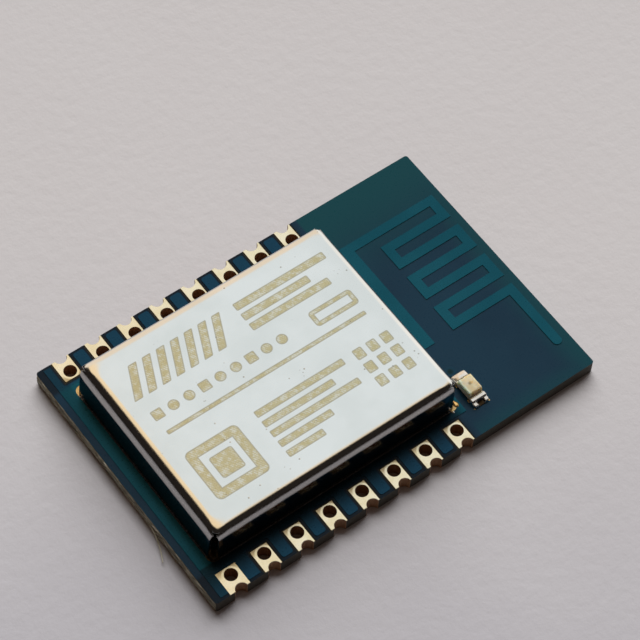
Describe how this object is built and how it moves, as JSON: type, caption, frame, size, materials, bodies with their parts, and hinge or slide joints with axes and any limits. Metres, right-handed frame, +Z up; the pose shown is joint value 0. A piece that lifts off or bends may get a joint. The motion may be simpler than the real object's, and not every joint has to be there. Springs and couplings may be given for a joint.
{
  "type": "radio module",
  "caption": "Small castellated circuit board with a folded metal shield can, a printed zigzag aerial and an indicator lamp.",
  "frame": {"origin": "middle of the board's underside, at the level it rests on", "axes": "+X from the snapped end beside the can to the aerial end, +Y across the board to the row without the indicator lamp, +Z up out of the can's roof"},
  "size_m": [0.0245, 0.016, 0.003],
  "materials": {
    "laminate": "matte",
    "solder_mask": "satin",
    "copper": "satin",
    "tinned_copper": "satin",
    "gold_plate": "satin",
    "can_metal": "satin",
    "solder": "bright",
    "lamp_ceramic": "matte",
    "lamp_resin": "gloss",
    "lamp_die": "matte",
    "chip_body": "matte",
    "crystal_ceramic": "matte",
    "capacitor_ceramic": "matte",
    "resistor_body": "matte",
    "coil_ceramic": "matte"
  },
  "bodies": {
    "root": {"laminate": "laminate", "loose_strand": "laminate", "mask_top": "solder_mask", "mask_bottom": "solder_mask", "ground_top": "copper", "ground_bottom": "copper", "aerial": "copper", "shield_can": "can_metal", "shield_solder": "solder", "lamp_lands": "gold_plate", "lamp_base": "lamp_ceramic", "lamp_end_near": "gold_plate", "lamp_end_far": "gold_plate", "lamp_die": "lamp_die", "lamp_lens": "lamp_resin", "lamp_solder_near": "solder", "lamp_solder_far": "solder", "inner_lands": "gold_plate", "radio_chip": "chip_body", "radio_contacts": "solder", "memory_chip": "chip_body", "memory_leads": "solder", "crystal_base": "crystal_ceramic", "crystal_lid": "can_metal", "contact_1": "tinned_copper", "contact_2": "tinned_copper", "contact_3": "tinned_copper", "contact_4": "tinned_copper", "contact_5": "tinned_copper", "contact_6": "tinned_copper", "contact_7": "tinned_copper", "contact_8": "tinned_copper", "contact_9": "tinned_copper", "contact_10": "tinned_copper", "contact_11": "tinned_copper", "contact_12": "tinned_copper", "contact_13": "tinned_copper", "contact_14": "tinned_copper", "contact_15": "tinned_copper", "contact_16": "tinned_copper", "capacitor_1": "capacitor_ceramic", "capacitor_2": "capacitor_ceramic", "capacitor_3": "capacitor_ceramic", "capacitor_4": "capacitor_ceramic", "capacitor_5": "capacitor_ceramic", "capacitor_6": "capacitor_ceramic", "capacitor_7": "capacitor_ceramic", "capacitor_8": "capacitor_ceramic", "capacitor_9": "capacitor_ceramic", "capacitor_10": "capacitor_ceramic", "resistor_1": "resistor_body", "resistor_2": "resistor_body", "resistor_3": "resistor_body", "resistor_4": "resistor_body", "coil_1": "coil_ceramic", "coil_2": "coil_ceramic"}
  },
  "joints": []
}
